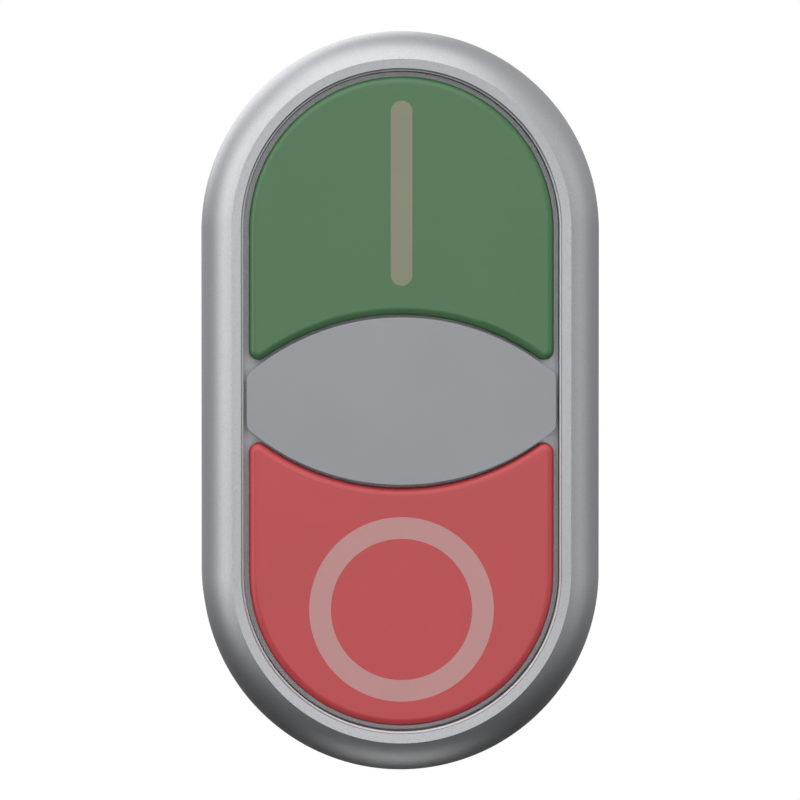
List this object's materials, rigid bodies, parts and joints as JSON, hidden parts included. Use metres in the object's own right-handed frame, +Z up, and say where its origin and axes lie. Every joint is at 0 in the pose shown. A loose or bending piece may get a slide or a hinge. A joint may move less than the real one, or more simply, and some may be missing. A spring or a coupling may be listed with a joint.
{
  "type": "double pushbutton",
  "caption": "Oval double pushbutton with a central indicator lens in a satin bezel, with panel adapter, make and break contact blocks and a lamp block.",
  "frame": {"origin": "centre of the panel hole on the panel's front face, which is the gasket's rear face", "axes": "+Y into the panel along the shank, +X right and +Z up seen from the front; the buttons face -Y"},
  "size_m": [0.0298, 0.0567, 0.055],
  "materials": {
    "satin_metal": "satin",
    "dark_grey_plastic": "matte",
    "black_rubber": "matte",
    "diffuser": "satin",
    "green_plastic": "satin",
    "red_plastic": "satin",
    "green_inlay": "satin",
    "red_inlay": "satin",
    "natural_plastic": "satin",
    "spring_steel": "bright",
    "black_plastic": "matte",
    "zinc_plated_steel": "bright",
    "grey_plastic": "matte",
    "clear_smoke_plastic": "satin",
    "make_plastic": "satin",
    "break_plastic": "satin",
    "contact_brass": "bright",
    "circuit_board": "satin",
    "resistor_body": "gloss",
    "emitter_resin": "gloss"
  },
  "bodies": {
    "head": {"bezel": "satin_metal", "head_body": "dark_grey_plastic", "panel_gasket": "black_rubber", "stem_seals": "black_rubber", "lens": "diffuser", "green_return_spring": "spring_steel", "red_return_spring": "spring_steel"},
    "green_button": {"green_cap": "green_plastic", "green_symbol": "green_inlay", "green_slider": "natural_plastic"},
    "red_button": {"red_cap": "red_plastic", "red_symbol": "red_inlay", "red_slider": "natural_plastic"},
    "adapter": {"adapter_frame": "black_plastic", "make_housing": "grey_plastic", "make_cover": "clear_smoke_plastic", "make_fixed_contacts": "contact_brass", "brk_housing": "grey_plastic", "brk_cover": "clear_smoke_plastic", "brk_fixed_contacts": "contact_brass", "lamp_housing": "grey_plastic", "lamp_cover": "clear_smoke_plastic", "lamp_fixed_contacts": "contact_brass", "make_return_spring": "spring_steel", "brk_return_spring": "spring_steel", "lamp_board": "circuit_board", "lamp_resistors": "resistor_body", "lamp_emitter": "emitter_resin"},
    "latch": {"latch": "grey_plastic"},
    "make_plunger": {"make_plunger": "make_plastic", "make_contact_spring": "spring_steel"},
    "make_bridge": {"make_bridge": "contact_brass"},
    "brk_plunger": {"brk_plunger": "break_plastic", "brk_contact_spring": "spring_steel"},
    "brk_bridge": {"brk_bridge": "contact_brass"},
    "clamp_foot_upper": {"clamp_foot_upper": "zinc_plated_steel"},
    "clamp_screw_upper": {"clamp_screw_upper": "zinc_plated_steel"},
    "clamp_foot_lower": {"clamp_foot_lower": "zinc_plated_steel"},
    "clamp_screw_lower": {"clamp_screw_lower": "zinc_plated_steel"},
    "make_saddle_upper": {"make_saddle_upper": "zinc_plated_steel"},
    "make_screw_upper": {"make_screw_upper": "zinc_plated_steel"},
    "make_saddle_lower": {"make_saddle_lower": "zinc_plated_steel"},
    "make_screw_lower": {"make_screw_lower": "zinc_plated_steel"},
    "brk_saddle_upper": {"brk_saddle_upper": "zinc_plated_steel"},
    "brk_screw_upper": {"brk_screw_upper": "zinc_plated_steel"},
    "brk_saddle_lower": {"brk_saddle_lower": "zinc_plated_steel"},
    "brk_screw_lower": {"brk_screw_lower": "zinc_plated_steel"},
    "lamp_saddle_upper": {"lamp_saddle_upper": "zinc_plated_steel"},
    "lamp_screw_upper": {"lamp_screw_upper": "zinc_plated_steel"},
    "lamp_saddle_lower": {"lamp_saddle_lower": "zinc_plated_steel"},
    "lamp_screw_lower": {"lamp_screw_lower": "zinc_plated_steel"}
  },
  "joints": [
    {"name": "green_press", "type": "slide", "parent": "head", "child": "green_button", "axis": [0, 1, 0], "range_m": [0, 0.0045], "stiffness_N_per_m": 600, "springref_m": -0.004, "deforming": ["green_return_spring"]},
    {"name": "red_press", "type": "slide", "parent": "head", "child": "red_button", "axis": [0, 1, 0], "range_m": [0, 0.0045], "stiffness_N_per_m": 600, "springref_m": -0.004, "deforming": ["red_return_spring"]},
    {"name": "adapter_pull", "type": "slide", "parent": "head", "child": "adapter", "axis": [0, 1, 0], "range_m": [0, 0.06]},
    {"name": "latch_slide", "type": "slide", "parent": "adapter", "child": "latch", "axis": [0, 0, -1], "range_m": [0, 0.0012]},
    {"name": "make_plunge", "type": "slide", "parent": "adapter", "child": "make_plunger", "axis": [0, 1, 0], "range_m": [0, 0.0045], "deforming": ["make_return_spring"]},
    {"name": "make_bridge_slide", "type": "slide", "parent": "make_plunger", "child": "make_bridge", "axis": [0, -1, 0], "range_m": [0, 0.00225], "deforming": ["make_contact_spring"]},
    {"name": "brk_plunge", "type": "slide", "parent": "adapter", "child": "brk_plunger", "axis": [0, 1, 0], "range_m": [0, 0.0045], "deforming": ["brk_return_spring"]},
    {"name": "brk_bridge_slide", "type": "slide", "parent": "brk_plunger", "child": "brk_bridge", "axis": [0, -1, 0], "range_m": [0, 0.00225], "deforming": ["brk_contact_spring"]},
    {"name": "clamp_feed_upper", "type": "slide", "parent": "adapter", "child": "clamp_foot_upper", "axis": [0, -1, 0], "range_m": [0, 0.004]},
    {"name": "clamp_turn_upper", "type": "hinge", "parent": "clamp_foot_upper", "child": "clamp_screw_upper", "pos_m": [0.0088, 0.012, 0.0193], "axis": [0, -1, 0], "range_deg": [0, 2880]},
    {"name": "clamp_feed_lower", "type": "slide", "parent": "adapter", "child": "clamp_foot_lower", "axis": [0, -1, 0], "range_m": [0, 0.004]},
    {"name": "clamp_turn_lower", "type": "hinge", "parent": "clamp_foot_lower", "child": "clamp_screw_lower", "pos_m": [-0.0088, 0.012, -0.0193], "axis": [0, -1, 0], "range_deg": [0, 2880]},
    {"name": "make_feed_upper", "type": "slide", "parent": "adapter", "child": "make_saddle_upper", "axis": [0, -1, 0], "range_m": [0, 0.0018]},
    {"name": "make_turn_upper", "type": "hinge", "parent": "make_saddle_upper", "child": "make_screw_upper", "pos_m": [-0.0098, 0.03, 0.0136], "axis": [0, -1, 0], "range_deg": [0, 1080]},
    {"name": "make_feed_lower", "type": "slide", "parent": "adapter", "child": "make_saddle_lower", "axis": [0, -1, 0], "range_m": [0, 0.0018]},
    {"name": "make_turn_lower", "type": "hinge", "parent": "make_saddle_lower", "child": "make_screw_lower", "pos_m": [-0.0098, 0.03, -0.0136], "axis": [0, -1, 0], "range_deg": [0, 1080]},
    {"name": "brk_feed_upper", "type": "slide", "parent": "adapter", "child": "brk_saddle_upper", "axis": [0, -1, 0], "range_m": [0, 0.0018]},
    {"name": "brk_turn_upper", "type": "hinge", "parent": "brk_saddle_upper", "child": "brk_screw_upper", "pos_m": [0.0098, 0.03, 0.0136], "axis": [0, -1, 0], "range_deg": [0, 1080]},
    {"name": "brk_feed_lower", "type": "slide", "parent": "adapter", "child": "brk_saddle_lower", "axis": [0, -1, 0], "range_m": [0, 0.0018]},
    {"name": "brk_turn_lower", "type": "hinge", "parent": "brk_saddle_lower", "child": "brk_screw_lower", "pos_m": [0.0098, 0.03, -0.0136], "axis": [0, -1, 0], "range_deg": [0, 1080]},
    {"name": "lamp_feed_upper", "type": "slide", "parent": "adapter", "child": "lamp_saddle_upper", "axis": [0, -1, 0], "range_m": [0, 0.0018]},
    {"name": "lamp_turn_upper", "type": "hinge", "parent": "lamp_saddle_upper", "child": "lamp_screw_upper", "pos_m": [0.0002, 0.03, 0.0136], "axis": [0, -1, 0], "range_deg": [0, 1080]},
    {"name": "lamp_feed_lower", "type": "slide", "parent": "adapter", "child": "lamp_saddle_lower", "axis": [0, -1, 0], "range_m": [0, 0.0018]},
    {"name": "lamp_turn_lower", "type": "hinge", "parent": "lamp_saddle_lower", "child": "lamp_screw_lower", "pos_m": [0.0002, 0.03, -0.0136], "axis": [0, -1, 0], "range_deg": [0, 1080]}
  ],
  "couplings": [
    {"joint": "make_plunge", "follows": "green_press", "ratio": 1},
    {"joint": "make_bridge_slide", "follows": "green_press", "ratio": 0.5},
    {"joint": "brk_plunge", "follows": "red_press", "ratio": 1},
    {"joint": "brk_bridge_slide", "follows": "red_press", "ratio": 0.5},
    {"joint": "clamp_turn_upper", "follows": "clamp_feed_upper", "rad_per_m": 12566},
    {"joint": "clamp_turn_lower", "follows": "clamp_feed_lower", "rad_per_m": 12566},
    {"joint": "make_turn_upper", "follows": "make_feed_upper", "rad_per_m": 10472},
    {"joint": "make_turn_lower", "follows": "make_feed_lower", "rad_per_m": 10472},
    {"joint": "brk_turn_upper", "follows": "brk_feed_upper", "rad_per_m": 10472},
    {"joint": "brk_turn_lower", "follows": "brk_feed_lower", "rad_per_m": 10472},
    {"joint": "lamp_turn_upper", "follows": "lamp_feed_upper", "rad_per_m": 10472},
    {"joint": "lamp_turn_lower", "follows": "lamp_feed_lower", "rad_per_m": 10472}
  ]
}
